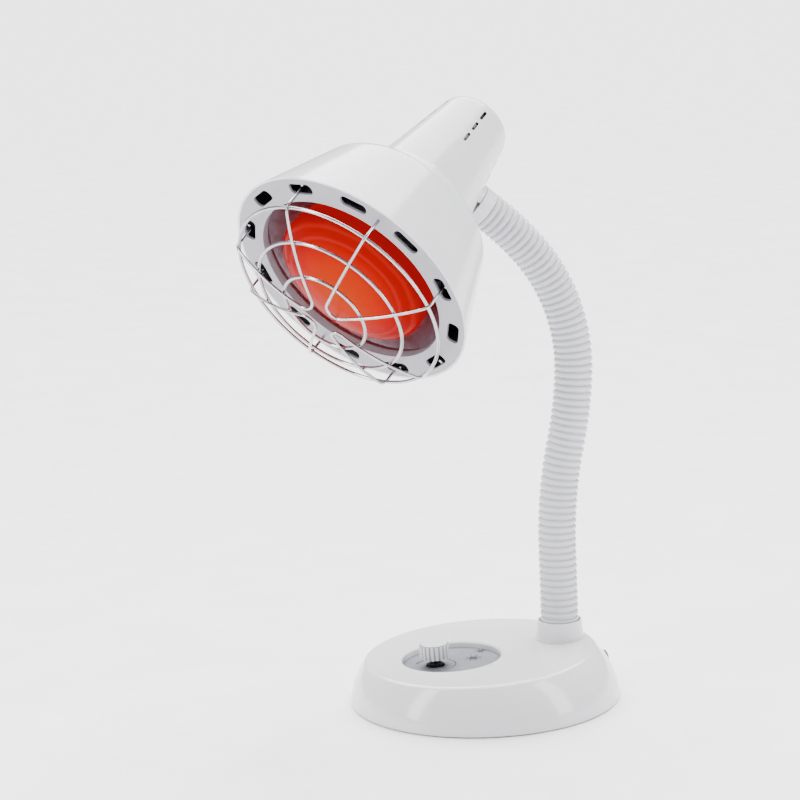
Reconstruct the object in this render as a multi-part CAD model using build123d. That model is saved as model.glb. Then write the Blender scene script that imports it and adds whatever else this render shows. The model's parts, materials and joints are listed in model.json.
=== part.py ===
"""Infrared heat therapy lamp: weighted base with a dimmer, gooseneck, bell shade with a wire guard.

Millimetres. +Z is up, the origin is the centre of the base on the table, the dimmer knob is
towards -Y and the gooseneck stands towards +Y.
"""

import os
from math import asin, atan, atan2, ceil, cos, degrees, radians, sin, sqrt, tan

from build123d import *

# ---------------------------------------------------------------- fits
SEAT = 0.3            # gap between pieces that only rest on or pass by each other
RUN = 0.05            # radial clearance of a shaft that turns in its hole
WELD = 0.1            # how deep crossed guard wires are welded into each other

# ---------------------------------------------------------------- base housing
BASE_R = 83.0         # outer radius of the base at its rim
RIM_Z = 0.8           # the rim stands this far off the table, on the pad
COVER_WALL = 2.2
SHOULDER_R = BASE_R - 17.5   # radius that the flaring wall would reach at SHOULDER_Z
SHOULDER_Z = 34.0
WALL_BULGE = 4.0      # how far the wall bows out from the straight line rim to shoulder
PANEL_FRONT_Z = 26.5  # height of the inclined top over the front shoulder
PANEL_SLOPE = 2.4     # degrees, the top rises towards the neck
SHOULDER_ROUND = 3.4  # rounding between the wall and the inclined top
PLATE_T = 2.0
PLATE_RECESS = 0.4    # the bottom plate lies this far inside the rim
PAD_R = BASE_R - 9.0  # soft anti-slip disc glued under the bottom plate
SCREW_CIRCLE = BASE_R - 17.0
SCREW_R = 1.45        # shank of the base screws
SCREW_HEAD_R = 2.8
SCREW_HEAD_H = 0.9
SCREW_L = 14.0
BOSS_R = 4.0
BALLAST_R = BASE_R - 23.0
BALLAST_T = 12.0
BALLAST_SCREW_X = 40.0

# ---------------------------------------------------------------- dimmer
KNOB_Y = -31.7        # centre of the knob
KNOB_R = 9.3
KNOB_H = 8.8
KNOB_GAP = 5.2        # between the knob and the dial plate
FLUTES = 20
FLUTE_R = 1.0
SHAFT_R = 3.0
DIAL_R = 30.5         # round recess of the dial, its centre behind the knob
DIAL_CENTRE_Y = -21.0
DIAL_DEPTH = 4.4      # depth of the recess
DIAL_BEVEL = 0.8      # its rim is broken by this much
DIAL_T = 0.8
BUSH_R = 3.5          # threaded bush of the potentiometer
POT_R = 8.0
POT_H = 7.5
POT_NUT_R = 5.6
POT_NUT_H = 2.0
BOARD_X = 46.0
BOARD_Y = 40.0
BOARD_T = 1.6
BOARD_CENTRE_Y = -36.0
WINDOW_X = 54.0       # opening in the ballast that takes the dimmer board
WINDOW_Y = 52.0

# ---------------------------------------------------------------- neck
NECK_Y = BASE_R - 32.0   # axis of the collar on the base
NECK_YAW = 8.0        # degrees, the bend plane is turned this far from the YZ plane
COLLAR_R = 14.8
COLLAR_TOP_R = 13.6
COLLAR_H = 11.0
COLLAR_BORE = 12.7
COLLAR_FLOOR = 3.0
SEAT_Z = 32.2         # flat seat of the collar on the cover
NECK_R = 11.9         # crest of the ribs
GROOVE_R = 11.0
SLEEVE_BORE = 8.3
CORE_R = 8.0
CORE_BORE = 4.0
CABLE_R = 3.5
RIB_PITCH = 4.2
RIB_L = 3.2
RIBS_PER_SPAN = 10
RIB_LEAD = 8.3        # a rib starts this far before each bending point and is cut by the parting
SPAN = RIB_PITCH * RIBS_PER_SPAN   # distance between the neck's bending points
FIRST_JOINT = 32.0
JOINTS = 6
BALL = 13.0           # radius of the parting surface about each bending point
THREAD_R = 5.0        # hollow M10 threaded ends
THREAD_BORE = 3.8
FLANGE_R = 11.0
FLANGE_T = 4.0
NUT_R = 8.5
NUT_H = 4.0
FERRULE_R = 11.6
FERRULE_L = 8.0
# posture of the neck from its foot up: length, then degrees turned (plus is backwards)
NECK_PATH = [(52.0, 0.0), (64.0, 13.0), (43.0, -9.5), (86.0, -44.0), (34.0, -10.0), (8.0, 0.0)]

# ---------------------------------------------------------------- head
HEAD_TURN = 31.0      # degrees the head is turned on its swivel
SWIVEL_GAP = 0.6
RIM_R = 77.7          # outer radius of the bell at its mouth
BELL_R = 56.0         # end of the bell's straight flank
BELL_T = 58.0
SHOULDER_END_R = 34.5
SHOULDER_END_T = 74.0
SHOULDER_FILLET = 14.0
THROAT_FILLET = 9.0
HOUSING_R = 31.0      # lamp housing behind the bell, at THROAT_T
THROAT_T = 78.0
HOUSING_END_R = 21.2
HEAD_L = 147.0
END_FILLET = 9.0
SHADE_WALL = 2.0
SWIVEL_T = HEAD_L - 46.0     # where the swivel sits along the housing
SWIVEL_PAD_R = 11.8
SWIVEL_PAD_H = 1.9
PAD_DEPTH = 5.6       # from the pad's outer face to its flat inside
SWIVEL_NUT_R = 7.5
SWIVEL_NUT_H = 3.5
VENT_ROWS = 5
VENT_PITCH = 11.2
VENT_FIRST = HEAD_L - 35.3
VENT_START = -97.0    # degrees round the housing from the swivel to the first row
VENT_L = 7.6
VENT_W = 2.0
VENTS = 3
RING_OUT = 76.2
RING_IN = 60.0
RING_T = 1.5
RING_LIP = 5.0
LIP_WALL = 1.0
RING_SLOTS = 12
SLOT_CIRCLE = 69.0
SLOT_L = 17.0
SLOT_W = 7.4
SLOT_CORNER = 3.0
SHIELD_T = 0.8
SHIELD_END_R = 34.0
SHIELD_END = 62.0

# ---------------------------------------------------------------- bulb and lamp holder
HOLDER_BACK = HEAD_L - 7.5
HOLDER_FRONT = HOLDER_BACK - 37.5
SOCKET_END = HOLDER_BACK - 9.0
CAP_T = HOLDER_FRONT - 2.0   # start of the E27 cap
BULB_R = 47.5         # R95 reflector bulb
BULB_FACE = CAP_T - 112.0    # apex of its face, in front of the front ring's face
BULB_RIM_T = BULB_FACE + 12.5
BULB_NECK_R = 16.0
BULB_NECK_T = BULB_FACE + 82.5
FILAMENT_T = BULB_FACE + 44.0
STEM_L = 42.0
CAP_R = 13.1
CAP_L = 23.0
CAP_TIP_L = 4.5
GLASS = 1.2
HOLDER_R = 17.5
SOCKET_R = 14.1
SHELL_WALL = 0.4
HOLDER_SCREW_X = 9.5
HOLDER_SCREW_R = 1.5

# ---------------------------------------------------------------- wire guard
GUARD_R = 67.0        # radius of the outer guard ring
GUARD_FRONT = 14.0    # it stands this far in front of the shade
GUARD_RISE = 16.0     # and the middle of the dome this much further
RING_RADII = [67.5, 48.5, 27.4]
RING_WIRE = 1.0
SPOKE_WIRE = 0.9
# the two legs of each hairpin, degrees round the head from the swivel side
HAIRPINS = [(150.0, 210.0), (254.0, 300.0), (0.0, 30.0), (74.0, 120.0)]
HAIRPIN_TURN = 16.0   # distance of each inner turn's centre from the axis
BEND_L = 4.0          # tangent length of each leg's outer bend
HOOK_REACH = 4.6
HOOK_BEND = 1.6


# ================================================================ small helpers
def hexagon_nut(across_r, bore, height):
    """A hexagon nut standing on the XY plane."""
    body = extrude(RegularPolygon(across_r, 6), height)
    return body - Cylinder(bore, height, align=(Align.CENTER, Align.CENTER, Align.MIN))


def upright(radius, height):
    """A cylinder standing on the XY plane."""
    return Cylinder(radius, height, align=(Align.CENTER, Align.CENTER, Align.MIN))


def pan_screw(shank_r, shank_l, head_r, head_h):
    """A screw with its head below the XY plane and its shank above it."""
    head = Pos(0, 0, -head_h) * upright(head_r, head_h)
    return head + upright(shank_r, shank_l)


def turned(points):
    """Revolve a closed outline of (radius, height) points about Z."""
    outline = Polyline(*[(r, 0, z) for r, z in points], close=True)
    return revolve(make_face(outline), Axis.Z)


# ================================================================ base
def panel_plane(drop=0.0):
    """The inclined panel's plane, lowered by drop."""
    return Plane((0, -SHOULDER_R, PANEL_FRONT_Z - drop), x_dir=(1, 0, 0),
                 z_dir=(0, -sin(radians(PANEL_SLOPE)), cos(radians(PANEL_SLOPE))))


def panel_z(y, drop=0.0):
    """Height of the panel over a point of the YZ plane."""
    return PANEL_FRONT_Z - drop + (y + SHOULDER_R) * tan(radians(PANEL_SLOPE))


def dome(inset, floor):
    """The base's outer form moved inwards by inset: a flaring wall under an inclined flat top."""
    chord_r, chord_z = BASE_R - SHOULDER_R, SHOULDER_Z - RIM_Z
    chord = sqrt(chord_r**2 + chord_z**2)
    mid = ((BASE_R + SHOULDER_R) / 2 + WALL_BULGE * chord_z / chord,
           (RIM_Z + SHOULDER_Z) / 2 + WALL_BULGE * chord_r / chord)
    wall = ThreePointArc((BASE_R, 0, RIM_Z), (mid[0], 0, mid[1]), (SHOULDER_R, 0, SHOULDER_Z))
    centre, radius = wall.arc_center, wall.radius
    wall_r = radius - inset
    low, high = (asin((z - centre.Z) / wall_r) for z in (RIM_Z, SHOULDER_Z))
    points = [(centre.X + wall_r * cos(a), 0, centre.Z + wall_r * sin(a))
              for a in (low, (low + high) / 2, high)]
    edges = [ThreePointArc(*points), Line(points[2], (0, 0, SHOULDER_Z)),
             Line((0, 0, SHOULDER_Z), (0, 0, RIM_Z)), Line((0, 0, RIM_Z), points[0])]
    form = revolve(make_face(Wire(edges)), Axis.Z)
    form -= panel_plane(inset) * Pos(0, SHOULDER_R, 50) * Box(4 * BASE_R, 4 * BASE_R, 100)
    form = fillet(form.faces().sort_by(Axis.Z)[-1].edges(), SHOULDER_ROUND - inset)
    if floor > RIM_Z:
        form -= Pos(0, 0, floor - 50) * Box(4 * BASE_R, 4 * BASE_R, 100)
    return form


def dial_place(drop):
    """The dial's own plane, drop below the panel."""
    along = DIAL_CENTRE_Y + SHOULDER_R
    return panel_plane(drop) * Pos(0, along / cos(radians(PANEL_SLOPE)), 0)


def screw_places():
    return [Rot(0, 0, 45 + 90 * i) * Pos(SCREW_CIRCLE, 0, 0) for i in range(4)]


def plate_top():
    return RIM_Z + PLATE_RECESS + PLATE_T


def base_cover():
    shell = dome(0, RIM_Z) - dome(COVER_WALL, RIM_Z)
    inside = dome(COVER_WALL / 2, plate_top())
    for place in screw_places():
        shell += (place * Pos(0, 0, plate_top()) * upright(BOSS_R, 40)) & inside
    seat = Pos(0, NECK_Y, SEAT_Z - 6) * upright(COLLAR_R + 0.6, 6)
    shell += seat
    pocket = dial_place(DIAL_DEPTH) * upright(DIAL_R, 10)
    cup = dial_place(DIAL_DEPTH + COVER_WALL) * upright(DIAL_R + 2, DIAL_DEPTH + COVER_WALL - 1)
    shell += cup
    shell -= pocket
    shell -= dial_place(DIAL_BEVEL) * Cone(DIAL_R, DIAL_R + 2 * DIAL_BEVEL, 2 * DIAL_BEVEL,
                                           align=(Align.CENTER, Align.CENTER, Align.MIN))
    for place in screw_places():
        shell -= place * upright(SCREW_R + RUN, plate_top() + SCREW_L)
    shell -= knob_axis(-20) * upright(BUSH_R + RUN, 40)
    shell -= Pos(0, NECK_Y, 0) * upright(THREAD_R + RUN, 60)
    # flat pad in the rear wall for the cord inlet
    shell += gland_axis() * Pos(0, 0, -GLAND_PAD) * upright(GLAND_R + 1.2, GLAND_PAD)
    shell -= gland_axis() * upright(GLAND_R + 1.2, 20)
    shell -= gland_axis() * Pos(0, 0, -GLAND_PAD - 6) * upright(GLAND_R, 6)
    shell -= gland_axis() * Pos(0, 0, -20) * upright(GLAND_NECK_R + RUN, 40)
    return shell


def base_plate():
    outer = dome(COVER_WALL + SEAT, RIM_Z + PLATE_RECESS)
    plate = outer & (Pos(0, 0, RIM_Z + PLATE_RECESS) * upright(BASE_R, PLATE_T))
    for place in screw_places():
        plate -= place * upright(SCREW_R + SEAT, 20)
    for x in (-BALLAST_SCREW_X, BALLAST_SCREW_X):
        plate -= Pos(x, 0, 0) * upright(SCREW_R + SEAT, 20)
    for place in board_screw_places():
        post = place * Pos(0, 0, plate_top()) * upright(2.6, board_z() - plate_top())
        plate += post
        plate -= place * Pos(0, 0, plate_top()) * upright(1.0 + RUN, 20)
    return plate


def anti_slip_pad():
    """The disc that the lamp stands on, open under the screws."""
    pad = upright(PAD_R, RIM_Z + PLATE_RECESS)
    for place in screw_places():
        pad -= place * upright(SCREW_HEAD_R + 0.7, 5)
    for x in (-BALLAST_SCREW_X, BALLAST_SCREW_X):
        pad -= Pos(x, 0, 0) * upright(SCREW_HEAD_R + 0.7, 5)
    return pad


def base_screws():
    screw = pan_screw(SCREW_R, SCREW_L, SCREW_HEAD_R, SCREW_HEAD_H)
    return [place * Pos(0, 0, RIM_Z + PLATE_RECESS) * screw for place in screw_places()]


def ballast():
    window = Pos(0, BOARD_CENTRE_Y, 0) * Box(WINDOW_X, WINDOW_Y, 200)
    iron = Pos(0, 0, plate_top()) * upright(BALLAST_R, BALLAST_T) - window
    relief = Pos(0, NECK_Y, plate_top()) * upright(NUT_R + 4, BALLAST_T)
    iron -= relief
    for x in (-BALLAST_SCREW_X, BALLAST_SCREW_X):
        iron -= Pos(x, 0, plate_top()) * upright(SCREW_R + RUN, 9)
    for place in screw_places():
        iron -= place * Pos(0, 0, plate_top()) * upright(BOSS_R + 1.5, BALLAST_T)
    return iron


def ballast_screws():
    screw = pan_screw(SCREW_R, PLATE_T + 8, SCREW_HEAD_R, SCREW_HEAD_H)
    return [Pos(x, 0, RIM_Z + PLATE_RECESS) * screw for x in (-BALLAST_SCREW_X, BALLAST_SCREW_X)]


# ---------------------------------------------------------------- dimmer
def dial_plate():
    plate = upright(DIAL_R - SEAT, DIAL_T)
    plate -= Pos(0, KNOB_Y - DIAL_CENTRE_Y, 0) * upright(POT_NUT_R + SEAT, 5)
    return dial_place(DIAL_DEPTH) * plate


def knob_axis(lift):
    """A plane on the knob's axis, lift above the recess floor."""
    return dial_place(DIAL_DEPTH) * Pos(0, KNOB_Y - DIAL_CENTRE_Y, lift)


def knob_foot():
    return DIAL_T + KNOB_GAP


def dimmer_knob():
    knob = upright(KNOB_R, KNOB_H)
    knob = chamfer(knob.edges().group_by(Axis.Z)[-1], 0.8)
    for i in range(FLUTES):
        knob -= Rot(0, 0, 360 / FLUTES * i) * Pos(KNOB_R + FLUTE_R * 0.45, 0, 0) * upright(FLUTE_R, KNOB_H)
    knob -= upright(SHAFT_R, KNOB_H - 3)
    knob -= upright(POT_NUT_R + 0.8, 1.6)
    return knob_axis(knob_foot()) * knob


def dimmer_shaft():
    return knob_axis(-COVER_WALL - 2) * upright(SHAFT_R, COVER_WALL + 2 + knob_foot() + KNOB_H - 3)


def dimmer_body():
    """Rotary potentiometer with switch: body, threaded bush and the bore of its shaft."""
    body = Pos(0, 0, -COVER_WALL - POT_H) * upright(POT_R, POT_H)
    bush = Pos(0, 0, -COVER_WALL) * upright(BUSH_R, COVER_WALL + POT_NUT_H + 0.5)
    tab = Pos(0, POT_R, -COVER_WALL - POT_H / 2) * Box(10, 4, POT_H)
    pot = body + bush + tab
    pot -= Pos(0, 0, -COVER_WALL - 2) * upright(SHAFT_R + RUN, 40)
    return knob_axis(0) * pot


def dimmer_nut():
    return knob_axis(0) * hexagon_nut(POT_NUT_R, BUSH_R, POT_NUT_H)


def board_z():
    return plate_top() + 3.0


def board_screw_places():
    return [Pos(x, BOARD_CENTRE_Y + BOARD_Y / 2 - 3.5, 0) for x in (-BOARD_X / 2 + 4, BOARD_X / 2 - 4)]


def dimmer_board():
    board = Pos(0, BOARD_CENTRE_Y, board_z()) * Box(
        BOARD_X, BOARD_Y, BOARD_T, align=(Align.CENTER, Align.CENTER, Align.MIN))
    for place in board_screw_places():
        board -= place * upright(1.0 + SEAT, 30)
    # three solder pins carry the board from the potentiometer
    top = board_z() + BOARD_T
    pot_floor = panel_z(KNOB_Y, DIAL_DEPTH + COVER_WALL) - POT_H
    for x in (-3.5, 0, 3.5):
        board += Pos(x, KNOB_Y, top) * Box(
            1.2, 1.2, pot_floor - top - SEAT, align=(Align.CENTER, Align.CENTER, Align.MIN))
    return board


def board_screws():
    screw = Rot(180, 0, 0) * pan_screw(1.0, 4.2, 2.0, 1.2)
    return [place * Pos(0, 0, board_z() + BOARD_T) * screw for place in board_screw_places()]


def filter_choke():
    """Toroid choke lying on the board."""
    return Pos(-15.2, BOARD_CENTRE_Y, board_z() + BOARD_T + 3.0) * Torus(4.6, 3.0)


def filter_capacitor():
    box = Box(6, 14, 8, align=(Align.CENTER, Align.CENTER, Align.MIN))
    return Pos(15, BOARD_CENTRE_Y + 4, board_z() + BOARD_T) * fillet(box.edges().group_by(Axis.Z)[-1], 0.8)


def triac_heatsink():
    """Triac on its folded aluminium heat sink."""
    lying = Box(10, 15, 1.6, align=(Align.CENTER, Align.CENTER, Align.MIN))
    standing = Pos(0, 7.5, 0) * Box(16, 1.6, 7, align=(Align.CENTER, Align.MAX, Align.MIN))
    tab = Pos(0, 1, 1.6) * Box(9, 8, 3, align=(Align.CENTER, Align.CENTER, Align.MIN))
    return Pos(0, BOARD_CENTRE_Y - 11, board_z() + BOARD_T) * (lying + standing + tab)


# ---------------------------------------------------------------- cord inlet
GLAND_Z = 13.0
GLAND_R = 6.2
GLAND_NECK_R = 4.6
GLAND_BORE = 3.3
GLAND_PAD = 3.0
TERMINAL_X = 24.0


def gland_axis():
    """The cord inlet's plane: on the rear wall, looking out."""
    return Plane((0, gland_y(), GLAND_Z), x_dir=(1, 0, 0), z_dir=(0, 1, 0))


def gland_y():
    """Where the wall's outer face passes the gland's axis."""
    chord_r, chord_z = BASE_R - SHOULDER_R, SHOULDER_Z - RIM_Z
    share = (GLAND_Z - RIM_Z) / chord_z
    bow = 4 * WALL_BULGE * share * (1 - share)
    return BASE_R - chord_r * share + bow * chord_z / sqrt(chord_r**2 + chord_z**2) - 1.0


def cord_gland():
    outer = upright(GLAND_R, 2.2)
    neck = Pos(0, 0, -GLAND_PAD - 1.6) * upright(GLAND_NECK_R, GLAND_PAD + 1.6)
    inner = Pos(0, 0, -GLAND_PAD - 1.6) * upright(GLAND_R - 0.4, 1.6)
    gland = outer + neck + inner - Pos(0, 0, -20) * upright(GLAND_BORE, 40)
    return gland_axis() * gland


def terminal_block():
    block = Box(22, 9, 8, align=(Align.CENTER, Align.CENTER, Align.MIN))
    for x in (-6.5, 0, 6.5):
        block -= Pos(x, 0, 4) * Rot(90, 0, 0) * Cylinder(1.6, 20)
    return Pos(-TERMINAL_X, 30, plate_top() + BALLAST_T) * block


# ================================================================ neck
def neck_frame():
    """Foot of the neck: local Z runs up the neck, local -Y is the side that the head is on."""
    foot = Pos(0, NECK_Y, SEAT_Z + COLLAR_FLOOR + FLANGE_T)
    return foot * Rot(0, 0, -NECK_YAW)


def neck_length():
    return sum(length for length, _ in NECK_PATH)


def neck_point(s):
    """Place on the neck's centre line in its own plane: y, z and the lean in degrees."""
    y, z, lean = 0.0, 0.0, 0.0
    if s <= 0:
        return y, z + s, lean
    for length, turn in NECK_PATH:
        step = min(s, length)
        bend = radians(turn) * step / length
        if abs(bend) < 1e-9:
            y += step * sin(radians(lean))
            z += step * cos(radians(lean))
        else:
            radius, a0 = step / bend, radians(lean)
            y += radius * (cos(a0) - cos(a0 + bend))
            z += radius * (sin(a0 + bend) - sin(a0))
        lean += degrees(bend)
        s -= step
        if s <= 1e-9:
            return y, z, lean
    return y + s * sin(radians(lean)), z + s * cos(radians(lean)), lean


def neck_plane(s):
    """Plane across the neck at the length s: Z along the neck, X out of the bend plane."""
    y, z, lean = neck_point(s)
    a = radians(lean)
    return Plane((0, y, z), x_dir=(1, 0, 0), z_dir=(0, sin(a), cos(a)))


def rod(s0, s1, radius):
    """A round rod along the neck's centre line: straight runs and parts of tori."""
    marks = [0.0]
    for length, _ in NECK_PATH:
        marks.append(marks[-1] + length)
    cuts = [s0] + [m for m in marks if s0 + 1e-6 < m < s1 - 1e-6] + [s1]
    pieces = []
    for a, b in zip(cuts, cuts[1:]):
        start = neck_plane(a)
        section = start * Circle(radius)
        (_, _, lean0), (_, _, lean1) = neck_point(a), neck_point(b)
        bend = lean1 - lean0
        if abs(bend) < 1e-6:
            pieces.append(extrude(section, b - a))
        else:
            bend_r = (b - a) / radians(bend)
            centre = start.origin + start.y_dir * bend_r
            axis = Axis(centre, start.x_dir)
            pieces.append(revolve(section, axis, -bend))
    whole = pieces[0]
    for piece in pieces[1:]:
        whole += piece
    return whole


def joint_s(k):
    return FIRST_JOINT + SPAN * k


def ball(k, radius):
    """Sphere about the neck's bending point k."""
    return neck_plane(joint_s(k)).location * Sphere(radius)


def span_limits(k):
    """Where span k of the neck starts and ends."""
    start = SEAT if k == 0 else joint_s(k - 1)
    end = joint_s(k) if k < JOINTS else neck_length() - FERRULE_L
    return start, end


def parted(k, layer):
    """Span k of one layer: a ball end that enters the span below and a cup for the next one.

    layer(s0, s1) makes the layer's solid between two lengths.
    """
    start, end = span_limits(k)
    if k == 0:
        solid = layer(start, end)
    else:
        behind = neck_plane(start).location * Pos(0, 0, -2 * BALL) * upright(2 * BALL, 2 * BALL)
        solid = layer(start - BALL - 1, end) - (behind - ball(k - 1, BALL - SEAT / 2))
    if k < JOINTS:
        solid -= ball(k, BALL + SEAT / 2)
    return solid


def ribbed(s0, s1):
    """The sleeve between two lengths, with its flat-topped rings."""
    sleeve = rod(s0, s1, GROOVE_R)
    first = joint_s(0) - RIB_LEAD
    low = first + RIB_PITCH * ceil((s0 - RIB_L - first) / RIB_PITCH + 0.1)
    while low < s1 - 0.5:
        high = low + RIB_L if low + RIB_L < s1 - 0.5 else s1
        sleeve += rod(max(low, s0), high, NECK_R)
        low += RIB_PITCH
    return sleeve - rod(s0, s1, SLEEVE_BORE)


def neck_sleeve(k):
    return neck_frame() * parted(k, ribbed)


def neck_core(k):
    """The steel conduit inside the sleeve."""
    def conduit(s0, s1):
        return rod(s0, s1, CORE_R) - rod(s0, s1, CORE_BORE)
    return neck_frame() * parted(k, conduit)


def neck_cable(k):
    """The two-core cable inside the conduit."""
    def cable(s0, s1):
        return rod(s0, s1, CABLE_R)
    return neck_frame() * parted(k, cable)


def neck_collar():
    cup = Pos(0, NECK_Y, SEAT_Z) * Cone(COLLAR_R, COLLAR_TOP_R, COLLAR_H,
                                        align=(Align.CENTER, Align.CENTER, Align.MIN))
    cup -= Pos(0, NECK_Y, SEAT_Z + COLLAR_FLOOR) * upright(COLLAR_BORE, COLLAR_H)
    return cup - Pos(0, NECK_Y, SEAT_Z) * upright(THREAD_R + RUN, COLLAR_FLOOR)


def neck_fitting():
    """Flanged hollow thread that the neck's foot is crimped into."""
    flange_z = SEAT_Z + COLLAR_FLOOR
    reach = COLLAR_FLOOR + 6 + NUT_H + 2.5
    fitting = Pos(0, NECK_Y, flange_z) * upright(FLANGE_R, FLANGE_T)
    fitting += Pos(0, NECK_Y, flange_z - reach) * upright(THREAD_R, reach)
    return fitting - Pos(0, NECK_Y, 0) * upright(THREAD_BORE, 60)


def neck_lock_nut():
    return Pos(0, NECK_Y, SEAT_Z - 6 - NUT_H) * hexagon_nut(NUT_R, THREAD_R, NUT_H)


# ---------------------------------------------------------------- swivel
def swivel_frame():
    """End of the neck: origin on the ferrule's face, Z along the neck."""
    return neck_frame() * neck_plane(neck_length()).location


def neck_ferrule():
    ferrule = Pos(0, 0, -FERRULE_L + SEAT) * upright(FERRULE_R, FERRULE_L - SEAT)
    ferrule = fillet(ferrule.edges().group_by(Axis.Z)[-1], 0.5)
    ferrule -= Pos(0, 0, -FERRULE_L) * upright(THREAD_R, FERRULE_L)
    ferrule -= Pos(0, 0, -FERRULE_L) * upright(SLEEVE_BORE, 2.0 + SEAT)
    return swivel_frame() * ferrule


def nipple_reach():
    """How far the hollow thread stands out of the ferrule's face."""
    return SWIVEL_GAP + PAD_DEPTH + 0.5 + SWIVEL_NUT_H + 0.6


def swivel_nipple():
    """Hollow thread with a flange inside the ferrule: the head turns on it."""
    flange = Pos(0, 0, -FERRULE_L + SEAT) * upright(SLEEVE_BORE, 2.0)
    stem = Pos(0, 0, -FERRULE_L + SEAT) * upright(THREAD_R, FERRULE_L - SEAT + nipple_reach())
    bore = Pos(0, 0, -FERRULE_L) * upright(THREAD_BORE, 60)
    return swivel_frame() * (flange + stem - bore)


def swivel_washer():
    ring = upright(SWIVEL_NUT_R + 0.8, 0.5 - RUN) - upright(THREAD_R, 1)
    return swivel_frame() * Pos(0, 0, SWIVEL_GAP + PAD_DEPTH + RUN) * ring


def swivel_nut():
    return swivel_frame() * Pos(0, 0, SWIVEL_GAP + PAD_DEPTH + 0.5) * hexagon_nut(
        SWIVEL_NUT_R, THREAD_R, SWIVEL_NUT_H)


# ================================================================ head
# Head coordinates: Z runs back along the shade's axis from the front ring's face, Y points
# to the swivel.
def housing_slope():
    """Half angle of the tapering lamp housing, degrees."""
    return degrees(atan((HOUSING_R - HOUSING_END_R) / (HEAD_L - THROAT_T)))


def housing_r(t):
    return HOUSING_R - (t - THROAT_T) * tan(radians(housing_slope()))


def pad_frame():
    """The swivel pad in head coordinates: origin on its face, Z pointing out to the neck."""
    lean = radians(housing_slope())
    out = (0, cos(lean), sin(lean))
    face = (0, housing_r(SWIVEL_T) + SWIVEL_PAD_H * cos(lean), SWIVEL_T + SWIVEL_PAD_H * sin(lean))
    return Plane(face, x_dir=(1, 0, 0), z_dir=out)


def head_frame():
    """Places the head so that its pad faces the ferrule, turned by HEAD_TURN on the swivel."""
    onto = swivel_frame() * Pos(0, 0, SWIVEL_GAP) * Rot(0, 0, HEAD_TURN)
    return onto * Rot(180, 0, 0) * pad_frame().location.inverse()


def bell_outline(inset):
    """Half outline of the bell and housing, moved inwards by inset; open at the mouth."""
    flank = atan((RIM_R - BELL_R) / BELL_T)
    slip = inset / cos(flank)
    taper = radians(housing_slope())
    squeeze = inset / cos(taper)
    shoulder = atan2(SHOULDER_END_T - BELL_T, BELL_R - SHOULDER_END_R)
    points = [(RIM_R - slip, 0.0),
              (BELL_R - slip, BELL_T - inset * tan(shoulder / 2)),
              (SHOULDER_END_R - squeeze, SHOULDER_END_T - inset / cos(shoulder) + squeeze * tan(shoulder)),
              (housing_r(HEAD_L) - squeeze, HEAD_L - inset),
              (0.0, HEAD_L - inset),
              (0.0, 0.0)]
    return points


def bell(inset):
    """Solid of revolution of the bell and housing."""
    points = bell_outline(inset)
    face = make_face(Polyline(*[(r, t) for r, t in points], close=True))

    def at(index):
        target = Vector(points[index][0], points[index][1], 0)
        return min(face.vertices(), key=lambda v: (Vector(v.X, v.Y, v.Z) - target).length)

    face = fillet(at(1), SHOULDER_FILLET - inset)
    face = fillet(at(2), THROAT_FILLET + inset)
    face = fillet(at(3), END_FILLET - inset)
    return revolve(Plane.XZ * face, Axis.Z)


def vent(t):
    """One axial slot of the housing, cut through the wall on the +Y side."""
    slot = extrude(SlotOverall(VENT_L, VENT_W, rotation=90), 12)
    place = Plane((0, housing_r(t) + 4, t), x_dir=(1, 0, 0), z_dir=(0, -1, 0))
    return place * slot


def shade():
    shell = bell(0) - bell(SHADE_WALL)
    # rebate for the front ring
    shell -= upright(RING_OUT + SEAT / 2, RING_T)
    # pad for the swivel, flat inside and outside
    pad = pad_frame() * Pos(0, 0, -PAD_DEPTH) * upright(SWIVEL_PAD_R, PAD_DEPTH)
    shell += pad
    shell -= pad_frame() * Pos(0, 0, -PAD_DEPTH - 12) * upright(SWIVEL_PAD_R, 12)
    shell -= pad_frame() * Pos(0, 0, -PAD_DEPTH - 1) * upright(THREAD_R + RUN, PAD_DEPTH + 2)
    for row in range(VENT_ROWS):
        for i in range(VENTS):
            shell -= Rot(0, 0, VENT_START + 360 / VENT_ROWS * row) * vent(VENT_FIRST + VENT_PITCH * i)
    # bosses that take the lamp holder's screws
    for x in (-HOLDER_SCREW_X, HOLDER_SCREW_X):
        boss = upright(3.6, HEAD_L - SHADE_WALL - HOLDER_BACK + 0.5)
        shell += Pos(x, 0, HOLDER_BACK) * boss
        shell -= Pos(x, 0, HOLDER_BACK) * upright(HOLDER_SCREW_R + RUN, 3.0)
    return shell


def front_ring():
    ring = upright(RING_OUT, RING_T) - upright(RING_IN, RING_T)
    ring += upright(RING_IN + LIP_WALL, RING_LIP) - upright(RING_IN, RING_LIP)
    slot = extrude(RectangleRounded(SLOT_L, SLOT_W, SLOT_CORNER), RING_T)
    for i in range(RING_SLOTS):
        ring -= Rot(0, 0, 360 / RING_SLOTS * i) * Pos(0, SLOT_CIRCLE, 0) * slot
    return ring


def heat_shield():
    """Spun aluminium reflector between the bulb and the plastic shade."""
    mouth = RING_IN + LIP_WALL + SEAT
    outline = [(mouth, RING_T + SEAT), (mouth, 8.0), (SHIELD_END_R, SHIELD_END)]
    outer = [(r + SHIELD_T, t) for r, t in reversed(outline)]
    return turned(outline + outer)


def lamp_holder():
    body = Pos(0, 0, HOLDER_FRONT) * upright(HOLDER_R, HOLDER_BACK - HOLDER_FRONT)
    body = chamfer(body.edges().group_by(Axis.Z)[0], 1.0)
    body -= Pos(0, 0, HOLDER_FRONT) * upright(SOCKET_R, SOCKET_END - HOLDER_FRONT)
    for x in (-HOLDER_SCREW_X, HOLDER_SCREW_X):
        body -= Pos(x, 0, HOLDER_FRONT) * upright(HOLDER_SCREW_R + SEAT, 60)
    return body


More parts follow.
